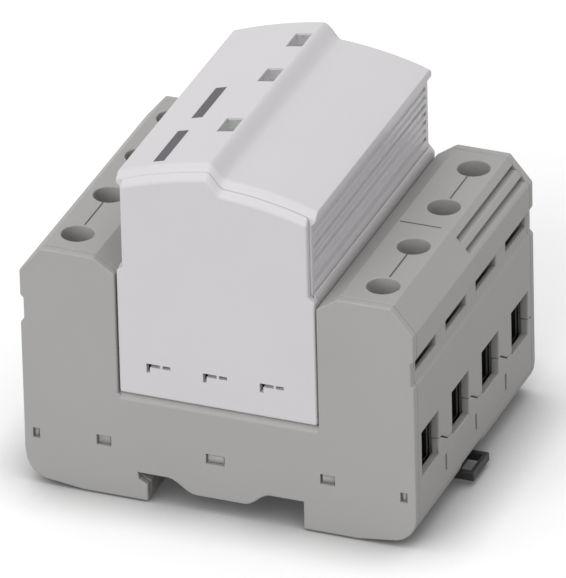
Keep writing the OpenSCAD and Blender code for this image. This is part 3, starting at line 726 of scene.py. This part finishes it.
def screw_tree():
    """Builds a screw whose head sits on Z = 0 and whose shank hangs below."""
    tree, size = new_tree("terminal_screw", SCREW_SIZES)
    core = add(tree, "GeometryNodeMeshCylinder", None,
               {"Vertices": CORE_SIDES, "Radius": size["Core radius"], "Depth": size["Shank length"]})
    head = add(tree, "GeometryNodeMeshCylinder", None,
               {"Vertices": HEAD_SIDES, "Radius": size["Head radius"], "Depth": size["Rim height"]})
    bevel = add(tree, "GeometryNodeMeshCone", None,
                {"Vertices": HEAD_SIDES, "Radius Top": size["Top radius"],
                 "Radius Bottom": size["Head radius"], "Depth": size["Chamfer height"]})
    along = add(tree, "GeometryNodeMeshCube", None, {"Size": size["Slot along"]})
    across = add(tree, "GeometryNodeMeshCube", None, {"Size": size["Slot across"]})
    path = add(tree, "GeometryNodeCurveSpiral", None,
               {"Resolution": POINTS_A_TURN, "Rotations": size["Thread turns"],
                "Start Radius": size["Core radius"], "End Radius": size["Core radius"],
                "Height": size["Thread length"]})
    lozenge = add(tree, "GeometryNodeCurvePrimitiveCircle", None,
                  {"Resolution": 4, "Radius": size["Thread ridge"]})
    thread = add(tree, "GeometryNodeCurveToMesh", None,
                 {"Curve": path.outputs[0], "Profile Curve": lozenge.outputs[0], "Fill Caps": True})
    placed = []
    for shape, place in ((core, "Shank middle"), (head, "Rim middle"), (bevel, "Chamfer foot"),
                         (along, "Slot middle"), (across, "Slot middle"), (thread, "Thread foot")):
        placed.append(add(tree, "GeometryNodeTransform", None,
                          {"Geometry": shape.outputs[0], "Translation": size[place]}).outputs[0])
    whole = add(tree, "GeometryNodeMeshBoolean", {"operation": "UNION", "solver": "EXACT"},
                {"Mesh 2": placed[:3]})
    cut = add(tree, "GeometryNodeMeshBoolean", {"operation": "DIFFERENCE", "solver": "EXACT"},
              {"Mesh 1": whole.outputs["Mesh"], "Mesh 2": placed[3:5]})
    both = add(tree, "GeometryNodeJoinGeometry", None, {"Geometry": [cut.outputs["Mesh"], placed[5]]})
    end_tree(tree, both.outputs[0], size["Material"])
    return tree


terminal_screw = screw_tree()
print("screw tree nodes:", len(terminal_screw.nodes))

# %% Set a screw in every terminal
TERMINALS = range(1, 9)
for number in TERMINALS:
    low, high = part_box(f"terminal_screw_{number}")
    seat = Vector(((low.x + high.x) / 2, (low.y + high.y) / 2, high.z - HEAD_HEIGHT))
    screw = grow(terminal_screw, f"terminal_screw_{number}_threaded", zinc_screw, seat)
    dress(screw, zinc_screw, f"screw_{number}", "zinc_plated_screw", f"terminal_screw_{number}")
print("one screw has", len(screw.data.polygons), "faces, top at", round(high.z / MM, 1), "mm")

# %% [markdown]
# ## Clamp cages
#
# A cage is folded from strip, so its outer edges are round, and its floor is rolled with ridges that
# bite into the conductor. The ridges repeat along the floor: three-sided bars laid side by side on a
# line of points.

# %% Build the tree of bite ridges
RIDGE_COUNT, RIDGE_SPACING = 7, 1.5 * MM
RIDGE_SIZES = {
    "Ridge count": RIDGE_COUNT,
    "First ridge": Vector(((1 - RIDGE_COUNT) / 2 * RIDGE_SPACING, 0, 0)),
    "Ridge step": Vector((RIDGE_SPACING, 0, 0)),
    "Ridge radius": 0.38 * MM,
    "Ridge length": 7.4 * MM,
}


def ridge_tree():
    """Lays three-sided bars along Y, spaced along X about the middle."""
    tree, size = new_tree("bite_ridges", RIDGE_SIZES)
    bar = add(tree, "GeometryNodeMeshCylinder", None,
              {"Vertices": 3, "Radius": size["Ridge radius"], "Depth": size["Ridge length"]})
    laid = add(tree, "GeometryNodeTransform", None,
               {"Geometry": bar.outputs["Mesh"], "Rotation": (math.radians(90), 0, 0)})
    line = add(tree, "GeometryNodeMeshLine", None,
               {"Count": size["Ridge count"], "Start Location": size["First ridge"],
                "Offset": size["Ridge step"]})
    rows = add(tree, "GeometryNodeInstanceOnPoints", None,
               {"Points": line.outputs[0], "Instance": laid.outputs[0]})
    end_tree(tree, rows.outputs[0], size["Material"])
    return tree


bite_ridges = ridge_tree()
print("ridge tree nodes:", len(bite_ridges.nodes))

# %% Fold a cage round every screw
CAGE_RADIUS_MM = 0.3


def surface_below(node, point):
    """Finds the first surface of a solid straight below a point."""
    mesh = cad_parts[node].data
    tree = BVHTree.FromPolygons([v.co for v in mesh.vertices], [p.vertices for p in mesh.polygons])
    return tree.ray_cast(point, Vector((0, 0, -1)))[0]


def join(piece, other):
    """Adds the mesh of a second piece to the first and removes the second."""
    work = bmesh.new()
    work.from_mesh(piece.data)
    work.from_mesh(other.data)
    work.to_mesh(piece.data)
    work.free()
    bpy.data.objects.remove(other)
    return piece


for number in TERMINALS:
    node = f"clamp_cage_{number}"
    low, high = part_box(node)
    bed = surface_below(node, (low + high) / 2)
    cage = join(rounded_copy(node, CAGE_RADIUS_MM), grow(bite_ridges, node + "_ridges", black_zinc_and_painted_shade, bed))
    dress(cage, black_zinc_and_painted_shade, f"cage_{number}", "zinc_plated_cage", node)
print("cage bed is", round((bed.z - low.z) / MM, 2), "mm above its underside")

# %% [markdown]
# ## Printed rules on the shoulders
#
# Fine grey rules join the screw holes in pairs, and on the right a cross rule parts the two pairs.
# Pad-printed ink is a film a few hundredths of a millimetre thick. A decal or a painted mask would do,
# but a thin closed slab keeps its edge sharp at any distance and survives the export.

# %% Build the tree of printed rules and print the shoulders
INK_THICKNESS = 0.04 * MM
HOLE_DIAMETER = 7.0 * MM
RULE_WIDTH, RULE_MARGIN = 0.38 * MM, 0.6 * MM
CROSS_RULE_LENGTH = 9.2 * MM
CROSS_RULE_SHIFT = Vector((-1.9, 0.2, 0)) * MM


def rule_tree(name, count, spacing, length, width):
    """Lays flat ink bars on Z = 0, spaced along Y about the middle, with their length along Y."""
    tree, size = new_tree(name, {
        "Rule count": count,
        "First rule": Vector((0, (1 - count) / 2 * spacing, 0)),
        "Rule step": Vector((0, spacing, 0)),
        "Rule size": Vector((width, length, INK_THICKNESS)),
    })
    bar = add(tree, "GeometryNodeMeshCube", None, {"Size": size["Rule size"]})
    line = add(tree, "GeometryNodeMeshLine", None,
               {"Count": size["Rule count"], "Start Location": size["First rule"],
                "Offset": size["Rule step"]})
    rows = add(tree, "GeometryNodeInstanceOnPoints", None,
               {"Points": line.outputs[0], "Instance": bar.outputs["Mesh"]})
    end_tree(tree, rows.outputs[0], size["Material"])
    return tree


screw_boxes = [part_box(f"terminal_screw_{number}") for number in TERMINALS]
way_y = sorted({round((low.y + high.y) / 2, 6) for low, high in screw_boxes})
pair_pitch = way_y[1] - way_y[0]
rule_length = pair_pitch - HOLE_DIAMETER - RULE_MARGIN
pair_rule = rule_tree("pair_rules", 2, way_y[3] - way_y[1], rule_length, RULE_WIDTH)
cross_rule = rule_tree("cross_rule", 1, 0.0, RULE_WIDTH, CROSS_RULE_LENGTH)
for side, block, first in (("right", "terminal_block_right", 1), ("left", "terminal_block_left", 5)):
    low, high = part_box(f"terminal_screw_{first}")
    middle = Vector(((low.x + high.x) / 2, 0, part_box(block)[1].z))
    rules = grow(pair_rule, f"pair_rules_{side}", print_ink, middle)
    if side == "right":
        join(rules, grow(cross_rule, "cross_rule", print_ink, middle + CROSS_RULE_SHIFT))
    dress(rules, print_ink, "base", "base_polyamide")
print("rules lie at", round(middle.z / MM, 2), "mm, pairs", round(pair_pitch / MM, 1), "mm apart")

# %% [markdown]
# ## Stripes on the plug's roof
#
# Two broad grey stripes run along the left slope of the roof. The slope is curved, so a flat bar would
# dive under it. Instead each stripe is a ribbon whose points are dropped on to the cover from above, and
# the ribbon is then thickened like ink.

# %% Print the roof
STRIPE_WIDTH = 2.5 * MM
STRIPE_CORNERS = ((-14.95 * MM, -30.7 * MM), (-14.3 * MM, -10.9 * MM))
STRIPE_LENGTH = 14.0 * MM
STRIPE_STEPS = 6
DROP_HEIGHT = 5 * MM


def dropped_slab(name, node, x_range, y_range, steps):
    """Makes a thin closed slab of ink that follows a solid's upper surface across X."""
    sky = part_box(node)[1].z + DROP_HEIGHT
    xs = [x_range[0] + (x_range[1] - x_range[0]) * i / steps for i in range(steps + 1)]
    work = bmesh.new()
    rows = []
    for x in xs:
        row = []
        for y in y_range:
            z = surface_below(node, Vector((x, y, sky))).z
            row += [work.verts.new((x, y, z + side * INK_THICKNESS / 2)) for side in (1, -1)]
        rows.append(row)
    for a, b in zip(rows, rows[1:]):
        work.faces.new((a[0], b[0], b[2], a[2]))
        work.faces.new((a[1], a[3], b[3], b[1]))
        work.faces.new((a[0], a[1], b[1], b[0]))
        work.faces.new((a[2], b[2], b[3], a[3]))
    work.faces.new((rows[0][0], rows[0][2], rows[0][3], rows[0][1]))
    work.faces.new((rows[-1][0], rows[-1][1], rows[-1][3], rows[-1][2]))
    bmesh.ops.recalc_face_normals(work, faces=work.faces)
    mesh = bpy.data.meshes.new(name)
    work.to_mesh(mesh)
    work.free()
    piece = bpy.data.objects.new(name, mesh)
    scene.collection.objects.link(piece)
    return piece


for number, (x, y) in enumerate(STRIPE_CORNERS, 1):
    stripe = dropped_slab(f"roof_stripe_{number}", "plug_cover", (x, x + STRIPE_WIDTH),
                          (y, y + STRIPE_LENGTH), STRIPE_STEPS)
    dress(stripe, print_ink, "plug", "plug_polycarbonate")
print("stripe height in mm:", round(stripe.data.vertices[0].co.z / MM, 2))

# %% [markdown]
# ## Finishes for the solids that stay
#
# Everything else keeps its measured solid, because it is plain in life too: stamped bars and blades,
# sealed spark gaps, the board, the carrier, the panes and the flags. They only need their materials.

# %% Paint the remaining solids
FINISHES = {
    "contact_bar": tinned_bar,
    "plug_blade": brass_strip,
    "spark_gap": resin_brown,
    "trigger_board": board_green,
    "flag_carrier": carrier_white,
    "status_window_1": pane_green,
    "status_window_2": pane_grey,
    "status_window_3": pane_grey,
    "status_flag_1": green_flag,
    "status_flag_2": grey_flag,
    "status_flag_3": grey_flag,
}
painted = 0
for node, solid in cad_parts.items():
    for start, finish in FINISHES.items():
        if node.startswith(start):
            solid.data.materials.clear()
            solid.data.materials.append(finish)
            painted += 1
print("solids painted:", painted)
